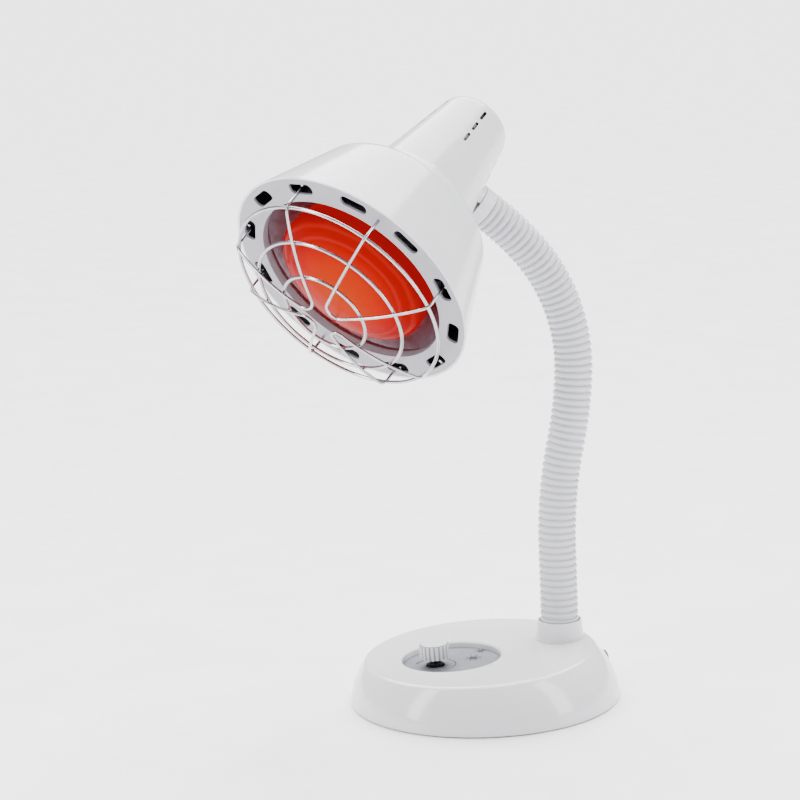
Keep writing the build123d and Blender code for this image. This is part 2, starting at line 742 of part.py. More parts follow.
def holder_shell():
    """The brass screw shell inside the ceramic holder."""
    outer = SOCKET_R - RUN
    shell = upright(outer, CAP_L - 3) - upright(outer - SHELL_WALL, CAP_L - 3)
    return Pos(0, 0, HOLDER_FRONT + 2) * shell


def holder_contact():
    """Spring strip that the bulb's tip rests on."""
    strip = Box(5, 12, 0.8, align=(Align.CENTER, Align.CENTER, Align.MAX))
    return Pos(0, 0, SOCKET_END) * strip


def holder_screws():
    screw = Rot(180, 0, 0) * pan_screw(HOLDER_SCREW_R, HOLDER_BACK - SOCKET_END + 2.5, 2.6, 1.4)
    return [Pos(x, 0, SOCKET_END) * Rot(180, 0, 0) * screw for x in (-HOLDER_SCREW_X, HOLDER_SCREW_X)]


# ---------------------------------------------------------------- bulb
def bulb_outline(inset):
    """Outline of the reflector bulb: domed face, round edge, curved reflector, neck."""
    face_t = BULB_FACE + inset
    rim_r = BULB_R - inset
    neck_r = BULB_NECK_R - inset
    face_end = (rim_r * 0.86, BULB_RIM_T - 4.6 + inset * 0.6)
    face = ThreePointArc((0, face_t), (rim_r * 0.48, face_t + 2.6), face_end)
    edge = TangentArc([(face @ 1), (rim_r, BULB_RIM_T + 2)], tangent=(face % 1))
    bowl = Spline(edge @ 1, (neck_r, BULB_NECK_T), tangents=[(0, 1), (0, 1)], tangent_scalars=[1.3, 0.8])
    neck = Line((neck_r, BULB_NECK_T), (neck_r, CAP_T - 4))
    return [face, edge, bowl, neck]


def bulb_glass():
    foot = CAP_R - 1.0
    outer = bulb_outline(0)
    outer += [Line((BULB_NECK_R, CAP_T - 4), (foot, CAP_T)), Line((foot, CAP_T), (foot, CAP_T + 3)),
              Line((foot, CAP_T + 3), (0, CAP_T + 3)), Line((0, CAP_T + 3), (0, BULB_FACE))]
    inner = bulb_outline(GLASS)
    inner += [Line((BULB_NECK_R - GLASS, CAP_T - 4), (foot - GLASS, CAP_T)),
              Line((foot - GLASS, CAP_T), (foot - GLASS, CAP_T + 4)),
              Line((foot - GLASS, CAP_T + 4), (0, CAP_T + 4)),
              Line((0, CAP_T + 4), (0, BULB_FACE + GLASS))]
    solid = revolve(Plane.XZ * make_face(Wire(outer)), Axis.Z)
    return solid - revolve(Plane.XZ * make_face(Wire(inner)), Axis.Z)


def bulb_cap():
    """E27 cap: screw shell, insulator and centre contact."""
    shell = Pos(0, 0, CAP_T + RUN) * upright(CAP_R, CAP_L)
    shell -= Pos(0, 0, CAP_T) * upright(CAP_R - 1.0 + RUN, 4)
    shell -= Pos(0, 0, CAP_T) * upright(CAP_R - 1.4, CAP_L - 2)
    tip = Pos(0, 0, CAP_T + CAP_L) * Cone(CAP_R - 2.5, 4.5, CAP_TIP_L - SEAT,
                                          align=(Align.CENTER, Align.CENTER, Align.MIN))
    return shell + tip


def bulb_stem():
    """Glass mount that carries the filament on two lead wires."""
    foot = Pos(0, 0, CAP_T - 2) * upright(CAP_R - 2.0 - GLASS, 5)
    post = Pos(0, 0, CAP_T - STEM_L) * upright(3.2, STEM_L)
    leads = [Pos(side * 9, 0, FILAMENT_T) * Rot(0, -side * 17, 0) * upright(0.5, 32) for side in (-1, 1)]
    return foot + post + leads


def bulb_filament():
    """Coiled tungsten filament bowed between the lead wires."""
    path = ThreePointArc((-9.0, 0, FILAMENT_T - 0.8), (0, 0, FILAMENT_T - 5), (9.0, 0, FILAMENT_T - 0.8))
    return sweep(Plane(path @ 0, z_dir=path % 0) * Circle(0.9), path=path)


# ---------------------------------------------------------------- wire guard
def dome_radius():
    """Radius of the guard's spherical dome."""
    return (GUARD_R**2 + GUARD_RISE**2) / (2 * GUARD_RISE)


def on_dome(r, azimuth, lift=0.0):
    """A point of the guard's dome at radius r, lifted outwards."""
    sphere = dome_radius()
    polar = asin(r / sphere)
    reach = sphere + lift
    centre_t = -GUARD_FRONT - GUARD_RISE + sphere
    a = radians(azimuth)
    return Vector(-reach * sin(polar) * sin(a), reach * sin(polar) * cos(a), centre_t - reach * cos(polar))


def guard_rings():
    rings = []
    for r in RING_RADII:
        rings.append(Pos(0, 0, on_dome(r, 0).Z) * Torus(r, RING_WIRE))
    return rings


def hairpin(first, second):
    """One guard wire in a single sweep: hook, leg, inner turn, leg, hook."""
    lift = RING_WIRE + SPOKE_WIRE - WELD
    sphere = dome_radius()
    bisector, half = (first + second) / 2, radians((second - first) / 2)
    # a small circle of the dome that touches both legs' meridians
    polar = asin(HAIRPIN_TURN / sphere)
    turn = asin(sin(polar) * sin(half))
    touch = sphere * sin(atan(tan(polar) * cos(half)))
    nearest = on_dome(sphere * sin(polar - turn), bisector, lift)
    edges = []
    for azimuth, order in ((first, -1), (second, 1)):
        leg = guard_leg(azimuth, touch, lift)
        edges = leg[::-1] + edges if order < 0 else edges + leg
        if order < 0:
            edges.append(ThreePointArc(on_dome(touch, first, lift), nearest, on_dome(touch, second, lift)))
    path = Wire(edges)
    return sweep(Plane(path @ 0, z_dir=path % 0) * Circle(SPOKE_WIRE), path=path)


def guard_leg(azimuth, touch, lift):
    """Edges of one leg from the inner turn outwards, over the dome and back to the ring."""
    sphere = dome_radius() + lift
    a = radians(azimuth)

    def at(r, t):
        return Vector(-r * sin(a), r * cos(a), t)

    # the leg leaves the dome where its tangent reaches the slot circle after BEND_L
    polar = asin(SLOT_CIRCLE / sqrt(sphere**2 + BEND_L**2)) - atan(BEND_L / sphere)
    leave = on_dome((sphere - lift) * sin(polar), azimuth, lift)
    corner_t = leave.Z + BEND_L * sin(polar)
    middle = on_dome((touch + (sphere - lift) * sin(polar)) / 2, azimuth, lift)
    edges = [ThreePointArc(on_dome(touch, azimuth, lift), middle, leave)]
    heading = at(cos(polar), sin(polar))
    edges.append(TangentArc(leave, at(SLOT_CIRCLE, corner_t + BEND_L), tangent=heading))
    pitch = 360 / RING_SLOTS
    off_slot = abs((azimuth + pitch / 2) % pitch - pitch / 2)
    if off_slot * radians(1) * SLOT_CIRCLE > SLOT_L / 2:
        edges.append(Line(at(SLOT_CIRCLE, corner_t + BEND_L), at(SLOT_CIRCLE, -0.02)))
        return edges
    foot = RING_T + SPOKE_WIRE + SEAT
    edges.append(Line(at(SLOT_CIRCLE, corner_t + BEND_L), at(SLOT_CIRCLE, foot - HOOK_BEND)))
    edges.append(TangentArc(at(SLOT_CIRCLE, foot - HOOK_BEND), at(SLOT_CIRCLE + HOOK_BEND, foot),
                            tangent=(0, 0, 1)))
    edges.append(Line(at(SLOT_CIRCLE + HOOK_BEND, foot), at(SLOT_CIRCLE + HOOK_REACH, foot)))
    return edges


def guard_spokes():
    return [hairpin(first, second) for first, second in HAIRPINS]


# ================================================================ writing
def write(name, shape):
    if isinstance(shape, list):
        shape = Compound(children=[s for s in shape])
    export_step(shape, f"parts/{name}.step")


def main():
    os.makedirs("parts", exist_ok=True)
    base_parts = [base_cover, base_plate, anti_slip_pad, base_screws, ballast, ballast_screws,
                  dial_plate, dimmer_knob, dimmer_shaft, dimmer_body, dimmer_nut, dimmer_board,
                  board_screws, filter_choke, filter_capacitor, triac_heatsink, cord_gland,
                  terminal_block, neck_collar, neck_fitting, neck_lock_nut,
                  neck_ferrule, swivel_nipple, swivel_washer, swivel_nut]
    for make in base_parts:
        write(make.__name__, make())
    for k in range(JOINTS + 1):
        write(f"neck_sleeve_{k}", neck_sleeve(k))
        write(f"neck_core_{k}", neck_core(k))
        write(f"neck_cable_{k}", neck_cable(k))
    place = head_frame()
    head_parts = [shade, front_ring, heat_shield, lamp_holder, holder_shell, holder_contact,
                  holder_screws, bulb_glass, bulb_cap, bulb_stem, bulb_filament, guard_rings,
                  guard_spokes]
    for make in head_parts:
        shape = make()
        if isinstance(shape, list):
            write(make.__name__, [place * s for s in shape])
        else:
            write(make.__name__, place * shape)


if __name__ == "__main__":
    main()
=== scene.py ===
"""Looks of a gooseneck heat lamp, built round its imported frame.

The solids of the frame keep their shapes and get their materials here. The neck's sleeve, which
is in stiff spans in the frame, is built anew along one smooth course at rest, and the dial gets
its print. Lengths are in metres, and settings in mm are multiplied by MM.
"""

import json
from math import ceil, cos, pi, radians, sin, sqrt

import bpy
import numpy as np
from mathutils import Matrix, Vector


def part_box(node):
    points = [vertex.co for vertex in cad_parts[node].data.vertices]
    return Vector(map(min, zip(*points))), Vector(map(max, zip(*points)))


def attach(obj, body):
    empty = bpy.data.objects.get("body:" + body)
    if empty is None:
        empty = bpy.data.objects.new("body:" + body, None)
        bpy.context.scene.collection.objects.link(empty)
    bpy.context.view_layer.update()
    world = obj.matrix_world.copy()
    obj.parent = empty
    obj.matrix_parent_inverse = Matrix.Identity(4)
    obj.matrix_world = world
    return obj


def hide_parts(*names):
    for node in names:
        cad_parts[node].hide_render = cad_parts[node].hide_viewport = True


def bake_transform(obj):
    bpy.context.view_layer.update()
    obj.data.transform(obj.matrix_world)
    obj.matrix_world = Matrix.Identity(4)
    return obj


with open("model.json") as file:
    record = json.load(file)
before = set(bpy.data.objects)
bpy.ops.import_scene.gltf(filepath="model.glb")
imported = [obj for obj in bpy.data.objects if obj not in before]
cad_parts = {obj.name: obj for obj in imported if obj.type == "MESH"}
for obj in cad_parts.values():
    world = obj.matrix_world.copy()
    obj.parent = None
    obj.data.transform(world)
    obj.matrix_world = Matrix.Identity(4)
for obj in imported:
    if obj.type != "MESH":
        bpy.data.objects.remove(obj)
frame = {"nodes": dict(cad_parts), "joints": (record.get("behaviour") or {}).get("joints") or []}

bl_info = {
    "name": "Heat lamp looks",
    "version": (1, 0, 0),
    "blender": (4, 5, 0),
    "location": "3D View > Sidebar > Heat lamp",
    "description": "Builds the visible pieces of a gooseneck heat lamp on its packed frame",
    "category": "Object",
}

MM = 0.001
UP = Vector((0.0, 0.0, 1.0))

# The neck's course from its foot up: length in mm, then degrees turned (plus leans back).
NECK_COURSE = ((52.0, 0.0), (64.0, 13.0), (43.0, -9.5), (86.0, -44.0), (34.0, -10.0), (8.0, 0.0))
NECK_SPANS = 7                # lengths of sleeve, conduit and cable in the frame
NECK_SPAN = 42.0 * MM         # between two bending points
NECK_FIRST = 32.0 * MM        # the lowest bending point
NECK_REACH = 0.32             # share of a span to either side of a bending point; the points there are found but not used
FERRULE_L = 8.0 * MM
FIRST_GAP = 0.3 * MM          # the sleeve starts this far above its foot

# The head's own frame starts on the face of the front ring and runs back.
RING_FACE = 0.75 * MM         # from the middle of the ring to its face
BULB_R = 47.5 * MM
# The shade's white inside gets painted shade where its hollow lies in shadow.
SHADE_PAINT_START = 2.0 * MM       # the shade's own rim stays white
SHADE_PAINT_LEAN = -0.25           # a wall gets painted shade if its normal leans this far to the axis
HOUSING = (60.0 * MM, 145.5 * MM)   # the stretch whose ledges and end wall get painted shade
HOUSING_R = 32.5 * MM
HOUSING_LEAN = -0.5           # they get painted shade if their normal leans this far to the front

# Radii on the knob: the flutes' grooves get painted shade, and the top inside them stays light.
FLUTES = (8.55 * MM, 9.15 * MM)
CAP = (8.2 * MM, 8.5 * MM)

# Warmth marks on the dial in mm: to the right, to the back, size.
WARMTH_MARKS = ((-0.5, 25.0, 6.0), (-11.5, 34.0, 4.6))
INK_LIFT = 0.04 * MM          # thickness of the print
ARC_STEPS = 40

# Typical refractive index; ABS, PVC and nylon all lie within 0.01 of it.
PLASTIC_IOR = 1.53
# Noise mostly stays between these two values, so they count as its ends.
NOISE_ENDS = {"From Min": 0.3, "From Max": 0.7}
# Colour sockets of a Mix node: its two inputs and its output.
MIX_A, MIX_B, MIX_OUT = 6, 7, 2


def linear(hex_colour):
    """An sRGB hex colour as linear red, green and blue."""
    shares = [int(hex_colour[i:i + 2], 16) / 255 for i in (0, 2, 4)]
    return tuple(s / 12.92 if s <= 0.04045 else ((s + 0.055) / 1.055) ** 2.4 for s in shares)


# ---------------------------------------------------------------- settings
def tint(name, description, hex_colour):
    """A colour a user may change, from its sRGB hex value."""
    return bpy.props.FloatVectorProperty(
        name=name, description=description, default=linear(hex_colour), size=3,
        min=0.0, max=1.0, subtype="COLOR")


def size(name, description, default):
    """A length a user may change, in metres."""
    return bpy.props.FloatProperty(
        name=name, description=description, default=default, min=0.0, precision=5,
        unit="LENGTH")


class HeatLampColours(bpy.types.PropertyGroup):
    """Colours of the pieces that show, and of the lit bulb."""

    body: tint("Body", "White plastic of the base, its collar and the shade", "D6D6D9")
    ring: tint("Front ring", "Light grey plastic of the front ring", "929199")
    dial: tint("Dial", "Grey plastic of the dial plate", "717278")
    ink: tint("Dial marks", "Ink of the marks on the dial", "2E2F33")
    knob: tint("Knob", "Crests of the knob's flutes", "CBCBCF")
    # Painted shade: this darker colour in the knob's flute grooves stands in for the shade that
    # falls in them.
    flute_shade: tint("Knob's dust", "What has settled in the knob's flutes", "55555B")
    neck: tint("Neck", "Soft plastic of the ribbed sleeve", "C6C6CB")
    ferrule: tint("Ferrule", "Plastic end piece between the neck and the shade", "DCDCE0")
    wire: tint("Wire", "Plating of the guard's wires", "B9B6B9")
    reflector: tint("Reflector", "Aluminium of the reflector inside the shade", "A19EA9")
    glow: tint("Bulb glow", "Light of the filament through the middle of the red glass", "F74B00")
    glow_strength: bpy.props.FloatProperty(
        name="Glow strength", description="How brightly the bulb is lit; 0 is switched off",
        default=1.0, min=0.0)


class HeatLampDial(bpy.types.PropertyGroup):
    """The arc printed round the knob, which grows thicker towards warm."""

    arc_radius: size("Arc radius", "Inner radius of the arc", 12.2 * MM)
    arc_thin: size("Arc start width", "Width of the arc at its cool end", 0.25 * MM)
    arc_thick: size("Arc end width", "Width of the arc at its warm end", 1.3 * MM)
    arc_start: bpy.props.FloatProperty(
        name="Arc start", description="Where the arc starts, from the front of the base",
        default=radians(40), subtype="ANGLE")
    arc_end: bpy.props.FloatProperty(
        name="Arc end", description="Where the arc ends, from the front of the base",
        default=radians(320), subtype="ANGLE")


class HeatLampNeck(bpy.types.PropertyGroup):
    """The ribbed sleeve of the gooseneck."""

    rib_pitch: size("Rib pitch", "Distance from rib to rib", 4.2 * MM)
    rib_width: size("Rib width", "Length of one rib along the neck", 3.2 * MM)
    rib_lead: size("Rib lead", "How far before each bending point a rib starts", 8.3 * MM)
    crest: size("Crest radius", "Radius over the ribs", 11.9 * MM)
    groove: size("Groove radius", "Radius between the ribs", 10.4 * MM)
    rounding: size("Rib rounding", "Radius of the ribs' moulded edges", 1.45 * MM)
    bore: size("Bore radius", "Inner radius of the sleeve", 8.4 * MM)
    sides: bpy.props.IntProperty(
        name="Sides", description="Faces round the sleeve", default=56, min=12)


class HeatLampStage(bpy.types.PropertyGroup):
    """Camera, lights and floor."""

    azimuth: bpy.props.FloatProperty(
        name="Azimuth", description="Camera direction round the lamp, from the knob side",
        default=radians(71.887), subtype="ANGLE")
    elevation: bpy.props.FloatProperty(
        name="Elevation", description="Camera height above the horizon",
        default=radians(10.464), subtype="ANGLE")
    roll: bpy.props.FloatProperty(
        name="Roll", description="Turn of the picture about the line of sight",
        default=radians(-2.424), subtype="ANGLE")
    distance: size("Distance", "From the camera to the aimed point", 1.5)
    aim_side: bpy.props.FloatProperty(
        name="Aim to the side", description="Aimed point along the picture's width",
        default=-45.05 * MM, precision=5, unit="LENGTH")
    aim_height: size("Aim height", "Height of the aimed point", 188.7 * MM)
    focal: bpy.props.FloatProperty(
        name="Focal length", description="Focal length on a 36 mm wide sensor",
        default=111.44, min=1.0, unit="CAMERA")
    floor_size: size("Floor size", "Side of the floor", 60.0)
    left_power: bpy.props.FloatProperty(
        name="Left light", description="Power of the strip light on the left",
        default=34.0, min=0.0, unit="POWER")
    right_power: bpy.props.FloatProperty(
        name="Right light", description="Power of the strip light on the right",
        default=30.0, min=0.0, unit="POWER")
    overhead: bpy.props.FloatProperty(
        name="Overhead light", description="Strength of the wide light from above",
        default=11.0, min=0.0)
    ambient: bpy.props.FloatProperty(
        name="Ambient light", description="Strength of the light from all round",
        default=0.6, min=0.0)


# ---------------------------------------------------------------- shader tools
def add(tree, kind, settings=(), links=(), **attributes):
    """One shader node with its attributes, input values and links."""
    made = tree.nodes.new(kind)
    for name, value in attributes.items():
        setattr(made, name, value)
    for socket, value in dict(settings).items():
        made.inputs[socket].default_value = value
    for socket, source in dict(links).items():
        tree.links.new(source, made.inputs[socket])
    return made


def new_material(name, **values):
    """A material, its tree and its shader, with uniform values set on the shader's sockets."""
    made = bpy.data.materials.new(name)
    made.use_nodes = True
    shader = made.node_tree.nodes["Principled BSDF"]
    for socket, value in values.items():
        shader.inputs[socket.replace("_", " ")].default_value = value
    return made, made.node_tree, shader


def feed(tree, shader, **sources):
    """Links sources to the shader's sockets."""
    for socket, source in sources.items():
        tree.links.new(source, shader.inputs[socket.replace("_", " ")])


def off_axis(tree, place):
    """Distance of a point from the Z axis of a frame, in metres."""
    own = add(tree, "ShaderNodeTexCoord")
    turned = add(tree, "ShaderNodeMapping",
                 {"Location": place.translation, "Rotation": place.to_euler()},
                 {"Vector": own.outputs["Object"]}, vector_type="TEXTURE")
    flat = add(tree, "ShaderNodeVectorMath", {1: (1, 1, 0)}, {0: turned.outputs["Vector"]},
               operation="MULTIPLY")
    return add(tree, "ShaderNodeVectorMath", links={0: flat.outputs["Vector"]},
               operation="LENGTH").outputs["Value"]


def duller(colour, share=0.93):
    """The same colour a little darker."""
    return tuple(channel * share for channel in colour)


def surface(name, tones, gloss, clouds, film, bumps, depth, grain=0.0, **values):
    """A material whose colour, gloss and height drift over soft patches.

    tones and gloss hold the two ends of the drift in colour and in roughness. clouds, film and
    bumps are the patches of colour, of gloss and of height, each a width in metres and a detail.
    The bumps stand depth metres high. grain is the share of a sand-like texture in them.
    """
    made, tree, shader = new_material(name, **values)
    own = add(tree, "ShaderNodeTexCoord").outputs["Object"]
    tone, sheen, height = (
        add(tree, "ShaderNodeTexNoise", {"Scale": 1 / width, "Detail": detail}, {"Vector": own})
        for width, detail in (clouds, film, bumps))
    share = add(tree, "ShaderNodeMapRange", NOISE_ENDS, {"Value": tone.outputs["Fac"]})
    colour = add(tree, "ShaderNodeMix", {MIX_A: (*tones[0], 1.0), MIX_B: (*tones[1], 1.0)},
                 {0: share.outputs["Result"]}, data_type="RGBA")
    rough = add(tree, "ShaderNodeMapRange",
                {**NOISE_ENDS, "To Min": gloss[0], "To Max": gloss[1]},
                {"Value": sheen.outputs["Fac"]})
    height = height.outputs["Fac"]
    if grain:
        # A spark-eroded mould's pits are about 0.1 mm wide; drawn at 0.35 mm, so that they show.
        pits = add(tree, "ShaderNodeTexNoise", {"Scale": 1 / (0.35 * MM), "Detail": 2.0},
                   {"Vector": own})
        height = add(tree, "ShaderNodeMath", {1: grain}, {0: pits.outputs["Fac"], 2: height},
                     operation="MULTIPLY_ADD").outputs["Value"]
    relief = add(tree, "ShaderNodeBump", {"Strength": 1.0, "Distance": depth},
                 {"Height": height})
    feed(tree, shader, Base_Color=colour.outputs[MIX_OUT], Roughness=rough.outputs["Result"],
         Normal=relief.outputs["Normal"])
    return made


def moulded(name, colour, roughness, wave=2.5 * MM, depth=0.004 * MM, grain=0.0, shine=0.5):
    """Moulded plastic: nearly even colour, a thin film of dust and a faint wave.

    The wave is the mould's own: a few mm wide and a few thousandths of a mm high.
    """
    return surface(name, (colour, duller(colour)), (0.85 * roughness, 1.2 * roughness),
                   clouds=(60 * MM, 2.0), film=(9 * MM, 5.0), bumps=(wave, 2.0), depth=depth,
                   grain=grain, IOR=PLASTIC_IOR, Specular_IOR_Level=shine)


def metal(name, light, dark, roughness, marks=0.5 * MM, depth=0.003 * MM):
    """Plated or drawn metal: clouded colour and gloss, and fine marks of its making.

    The marks of drawing and rolling are under 0.05 mm wide; drawn at 0.5 mm, so that they show.
    """
    return surface(name, (light, dark), (0.75 * roughness, 1.4 * roughness),
                   clouds=(8 * MM, 4.0), film=(3 * MM, 5.0), bumps=(marks, 4.0), depth=depth,
                   Metallic=1.0)


# ---------------------------------------------------------------- materials that show
def colours():
    """The colour settings."""
    return bpy.context.scene.heat_lamp_colours


def white_abs():
    """Glossy white ABS from a polished mould: clean reflections with a very slight wave."""
    return moulded("moulded_white_abs", colours().body, 0.15)


def ring_abs():
    """Light grey ABS from a satin mould: soft highlights."""
    return moulded("satin_grey_abs", colours().ring, 0.36, grain=0.5, depth=0.01 * MM)


def dial_abs():
    """Grey ABS from a spark-eroded mould: fine pits that kill the gloss."""
    return moulded("textured_grey_abs", colours().dial, 0.6, grain=2.0, depth=0.03 * MM,
                   shine=0.12)


def dial_ink():
    """Dark grey pad-printed ink: flat and without gloss."""
    return moulded("pad_printed_ink", colours().ink, 0.6, shine=0.12)


def knob_abs(knob):
    """Moulded ABS of the fluted knob: painted shade darkens the flutes' grooves, while the crests
    and the top stay light.
    """
    made, tree, shader = new_material("moulded_knob_abs", IOR=PLASTIC_IOR)
    radius = off_axis(tree, knob)
    crest = add(tree, "ShaderNodeMapRange", {"From Min": FLUTES[0], "From Max": FLUTES[1]},
                {"Value": radius})
    cap = add(tree, "ShaderNodeMapRange",
              {"From Min": CAP[0], "From Max": CAP[1], "To Min": 1.0, "To Max": 0.0},
              {"Value": radius})
    unshaded = add(tree, "ShaderNodeMath",
                links={0: crest.outputs["Result"], 1: cap.outputs["Result"]},
                operation="MAXIMUM")
    # Painted shade: the flutes' grooves take the darker colour, the crests and the top the
    # lighter one.
    colour = add(tree, "ShaderNodeMix",
                 {MIX_A: (*colours().flute_shade, 1.0), MIX_B: (*colours().knob, 1.0)},
                 {0: unshaded.outputs["Value"]}, data_type="RGBA")
    # Finger wear is in patches of about a millimetre.
    own = add(tree, "ShaderNodeTexCoord")
    wear = add(tree, "ShaderNodeTexNoise", {"Scale": 1 / (1.2 * MM), "Detail": 4.0},
               {"Vector": own.outputs["Object"]})
    rough = add(tree, "ShaderNodeMapRange", {**NOISE_ENDS, "To Min": 0.24, "To Max": 0.36},
                {"Value": wear.outputs["Fac"]})
    relief = add(tree, "ShaderNodeBump", {"Strength": 1.0, "Distance": 0.004 * MM},
                 {"Height": wear.outputs["Fac"]})
    feed(tree, shader, Base_Color=colour.outputs[MIX_OUT], Roughness=rough.outputs["Result"],
         Normal=relief.outputs["Normal"])
    return made


def neck_pvc():
    """Soft white extruded PVC of the ribbed sleeve: semi-gloss, a little uneven."""
    return moulded("extruded_white_pvc", colours().neck, 0.33, wave=1.5 * MM, depth=0.02 * MM)


def ferrule_abs():
    """Light grey ABS from a fine mould: semi-gloss."""
    return moulded("moulded_ferrule_abs", colours().ferrule, 0.35)


def chrome_wire():
    """Bright chromium-plated steel wire: sharp reflections, faint drawing marks."""
    return metal("chrome_plated_wire", colours().wire, duller(colours().wire, 0.7), 0.13)


def spun_aluminium():
    """Reflector spun from aluminium sheet: a soft sheen.

    The roller's rings are under 1 mm wide and blur into that sheen; drawn as one slow wave.
    """
    return metal("spun_aluminium", colours().reflector, duller(colours().reflector, 0.81), 0.42,
                 marks=24 * MM, depth=0.03 * MM)


def painted_shade_lining():
    """Matt near-black inside the white shade: painted shade for the dark of its hollow, seen
    through the ring's slots.
    """
    return moulded("painted_shade_interior", linear("161617"), 0.6)


def ruby_glass(head):
    """Blown ruby glass over a lit filament: orange core, deep red towards the edge.

    The light from inside outshines what the glass reflects, so its own reflections are held
    down. Two pale rings in the glow are painted reflections of the reflector's rim.
    """
    made, tree, shader = new_material(
        "blown_ruby_glass", IOR=1.5, Roughness=0.2, Specular_IOR_Level=0.01,
        Emission_Strength=colours().glow_strength, Base_Color=(*linear("300100"), 1.0))
    own = add(tree, "ShaderNodeTexCoord").outputs["Object"]
    share = add(tree, "ShaderNodeMapRange", {"From Max": BULB_R},
                {"Value": off_axis(tree, head)})
    # Swirls of 20 mm, as the gather leaves them, keep the rings from being perfect circles.
    swirl = add(tree, "ShaderNodeTexNoise", {"Scale": 1 / (20 * MM), "Detail": 2.0},
                {"Vector": own})
    drift = add(tree, "ShaderNodeMapRange", {**NOISE_ENDS, "To Min": -0.008, "To Max": 0.008},
                {"Value": swirl.outputs["Fac"]})
    pushed = add(tree, "ShaderNodeMath",
                 links={0: share.outputs["Result"], 1: drift.outputs["Result"]},
                 operation="ADD", use_clamp=True)
    glow = add(tree, "ShaderNodeValToRGB", links={"Fac": pushed.outputs["Value"]})
    red, green, blue = colours().glow
    # Share of the radius, then red, green and blue there as shares of the core's. The core has
    # no blue, so the painted reflections' blue is a share of its green, which makes them paler.
    # The stops at 0.785 and 0.925 are the two painted reflections.
    stops = ((0.0, 1.0, 1.0, 0.0), (0.45, 0.96, 0.5, 0.0), (0.66, 0.82, 0.06, 0.0),
             (0.75, 0.67, 0.0, 0.0), (0.785, 0.78, 0.25, 0.2), (0.82, 0.6, 0.0, 0.0),
             (0.89, 0.56, 0.0, 0.0), (0.925, 0.69, 0.18, 0.15), (0.96, 0.5, 0.0, 0.0),
             (1.0, 0.42, 0.0, 0.0))
    ramp = glow.color_ramp
    while len(ramp.elements) < len(stops):
        ramp.elements.new(0.5)
    for element, (at, r, g, b) in zip(ramp.elements, stops):
        element.position = at
        element.color = (red * r, green * g, max(blue, green) * b, 1.0)
    # The face's own unevenness: 25 mm wide, 0.05 mm high.
    dents = add(tree, "ShaderNodeTexNoise", {"Scale": 1 / (25 * MM), "Detail": 1.0},
                {"Vector": own})
    relief = add(tree, "ShaderNodeBump", {"Strength": 1.0, "Distance": 0.05 * MM},
                 {"Height": dents.outputs["Fac"]})
    feed(tree, shader, Emission_Color=glow.outputs["Color"], Normal=relief.outputs["Normal"])
    return made


def floor_paper():
    """White background paper: matt, with fibres too fine to show drawn 1.5 mm wide."""
    return moulded("matt_white_paper", linear("F7F7F8"), 0.7, wave=1.5 * MM, depth=0.02 * MM)


# ---------------------------------------------------------------- materials inside
def zinc_steel():
    """Zinc-plated steel of screws, nuts and conduit: dull and clouded."""
    return metal("zinc_plated_steel", linear("B4B7BC"), linear("8D9197"), 0.34)


def painted_shade_steel():
    """Steel of the dimmer's nut and shaft, near-black as painted shade under the knob, with a low
    oily sheen.
    """
    return metal("painted_shade_dark_steel", linear("2B2B2D"), linear("1D1D1F"), 0.4)


def brass():
    """Rolled brass of the socket's shell: warm, slightly tarnished."""
    return metal("rolled_brass", linear("D8B468"), linear("B08A42"), 0.3)


def tungsten():
    """Drawn tungsten of the filament: grey, roughened by heat."""
    return metal("drawn_tungsten", linear("7A7672"), linear("5C5955"), 0.5)


def ceramic():
    """Glazed steatite of the lamp holder: off-white with a glassy skin."""
    return moulded("glazed_steatite", linear("EFECE3"), 0.16, wave=4 * MM)


def foam_pad():
    """Closed-cell foam disc under the base: matt black with open pores."""
    return moulded("closed_cell_foam", linear("1C1C1D"), 0.85, wave=0.8 * MM, depth=0.12 * MM)


def black_nylon():
    """Black moulded nylon of the gland and the dimmer's body: satin, slightly grainy."""
    return moulded("moulded_black_nylon", linear("1E1E20"), 0.45, grain=2.0, depth=0.03 * MM)


def cast_iron():
    """Ballast as cast in sand, under thin grey primer.

    The sand's grain is about 0.3 mm; drawn at 1.2 mm, so that the rough skin shows.
    """
    return moulded("sand_cast_iron", linear("4A4A4C"), 0.7, wave=1.2 * MM, depth=0.25 * MM)


def circuit_board():
    """Glass-fibre laminate under green solder mask: the weave, 0.5 mm wide, shows faintly."""
    return moulded("masked_laminate", linear("2B6E3F"), 0.35, wave=0.5 * MM, depth=0.01 * MM)


def cable_pvc():
    """White extruded PVC of the two-core cable: satin."""
    return moulded("extruded_cable_pvc", linear("EDEDED"), 0.5)


def film_capacitor():
    """Dipped epoxy of the filter capacitor: smooth ochre yellow."""
    return moulded("dipped_epoxy", linear("C8B23A"), 0.4)


# ---------------------------------------------------------------- places in the frame
def joint(name):
    """A joint of the frame by its name."""
    found = [j for j in frame["joints"] if j["name"] == name]
    if not found:
        raise ValueError(f"the frame has no joint {name}")
    return found[0]


def centre(node):
    """Middle of a CAD node's box."""
    low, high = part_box(node)
    return (low + high) / 2


def head_place():
    """The head's own frame: Z back along its axis from the ring's face, Y to the swivel."""
    ring = centre("front_ring")
    back = (centre("holder_shell") - ring).normalized()
    swivel = Vector(joint("head_turn")["pos_m"]) - ring
    side = (swivel - back * swivel.dot(back)).normalized()
    turned = Matrix((side.cross(back), side, back)).transposed()
    return Matrix.Translation(ring - back * RING_FACE) @ turned.to_4x4()


def upright_axis(name):
    """A hinge's axis, turned so that it points up."""
    axis = Vector(joint(name)["axis"]).normalized()
    return -axis if axis.z < 0 else axis


def knob_place():
    """The knob's own frame: Z up along its axis."""
    turned = upright_axis("knob_turn").to_track_quat("Z", "Y").to_matrix().to_4x4()
    return Matrix.Translation(Vector(joint("knob_turn")["pos_m"])) @ turned


